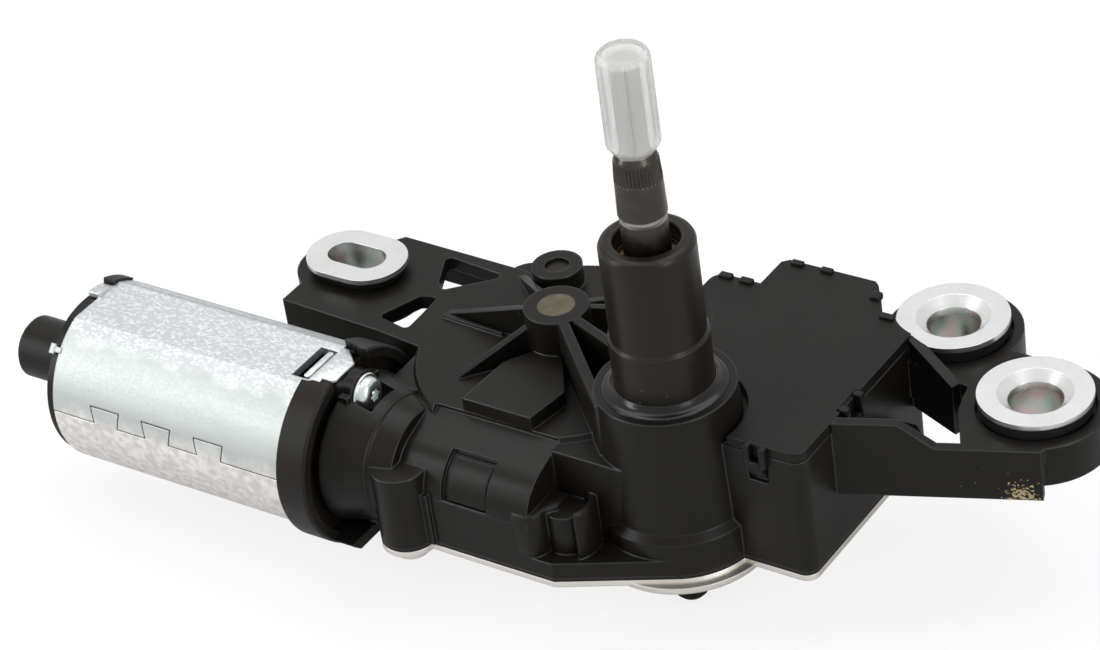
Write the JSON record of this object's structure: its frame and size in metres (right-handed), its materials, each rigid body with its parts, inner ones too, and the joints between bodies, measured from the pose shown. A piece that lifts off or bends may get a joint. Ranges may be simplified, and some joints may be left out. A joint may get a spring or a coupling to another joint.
{
  "type": "wiper motor",
  "caption": "Rear wiper motor with a steel can, moulded gear housing, worm and crank drive, sleeved output shaft and grommeted eyes.",
  "frame": {"origin": "output shaft's axis, level with the top face of the housing's collar, where the tower sleeve stands", "axes": "+Z along the output shaft to its threaded end, +X from the motor's rear boss towards the twin mounting arms"},
  "size_m": [0.2464, 0.1107, 0.1385],
  "materials": {
    "black_plastic": "moulded, satin",
    "dark_plastic": "satin",
    "cast_aluminium": "as cast",
    "rubber": "moulded",
    "steel": "turned",
    "zinc_steel": "bright zinc plate",
    "zinc_sheet": "galvanised, spangled",
    "board": "solder resist",
    "tin": "tinned",
    "bronze": "sintered",
    "ferrite": "ground",
    "carbon": "pressed carbon",
    "pin_steel": "passivated yellow",
    "core_steel": "laminated",
    "copper": "enamelled",
    "white_plastic": "moulded",
    "black_steel": "phosphated",
    "clear_plastic": "clear moulded"
  },
  "bodies": {
    "housing": {"gear_housing": "black_plastic", "cover_plate": "cast_aluminium", "cover_gasket": "rubber", "cover_screws": "steel", "electronics_lid": "black_plastic", "circuit_board": "board", "connector_pins": "tin", "yoke": "zinc_sheet", "rear_cap": "black_plastic", "rear_bush": "bronze", "front_bush": "bronze", "magnets": "ferrite", "brush_holder": "black_plastic", "brushes": "carbon", "motor_screws": "zinc_steel", "wheel_pin": "pin_steel", "shaft_bushes": "bronze", "tower_sleeve": "black_plastic", "foot_ring": "rubber", "shaft_plug": "rubber", "breather": "dark_plastic", "grommet_left": "rubber", "sleeve_left": "zinc_steel", "grommets_right": "rubber", "sleeves_right": "zinc_steel"},
    "armature": {"armature_shaft": "steel", "armature_core": "core_steel", "windings": "copper", "commutator": "copper"},
    "wheel": {"worm_wheel": "white_plastic", "crank_pin": "steel"},
    "link": {"link_plate": "steel", "pivot_pin": "steel"},
    "rod": {"toothed_rod": "steel"},
    "output": {"output_shaft": "black_steel", "output_pinion": "steel", "circlip": "steel"},
    "cap": {"shaft_cap": "clear_plastic"}
  },
  "joints": [
    {"name": "armature_spin", "type": "hinge", "parent": "housing", "child": "armature", "pos_m": [-0.1, -0.0175, -0.0254], "axis": [1, 0, 0], "range_deg": [0, 10800]},
    {"name": "wheel_turn", "type": "hinge", "parent": "housing", "child": "wheel", "pos_m": [-0.0376, 0.0155, -0.0289], "axis": [0, 0, 1], "range_deg": [-180, 0]},
    {"name": "link_swing", "type": "hinge", "parent": "housing", "child": "link", "pos_m": [0, 0, -0.0348], "axis": [0, 0, 1], "range_deg": [-44, 0]},
    {"name": "rod_pivot", "type": "hinge", "parent": "link", "child": "rod", "pos_m": [-0.00742, 0.01585, -0.0327], "axis": [0, 0, 1], "range_deg": [0, 44]},
    {"name": "wiper_swing", "type": "hinge", "parent": "housing", "child": "output", "pos_m": [0, 0, 0], "axis": [0, 0, 1], "range_deg": [-110, 0]},
    {"name": "cap_pull", "type": "slide", "parent": "output", "child": "cap", "axis": [0, 0, 1], "range_m": [0, 0.03]}
  ],
  "couplings": [
    {"joint": "wheel_turn", "follows": "armature_spin", "ratio": -0.016667},
    {"joint": "link_swing", "follows": "armature_spin", "ratio": -0.0040741},
    {"joint": "rod_pivot", "follows": "armature_spin", "ratio": 0.0040741},
    {"joint": "wiper_swing", "follows": "armature_spin", "ratio": -0.010185}
  ]
}
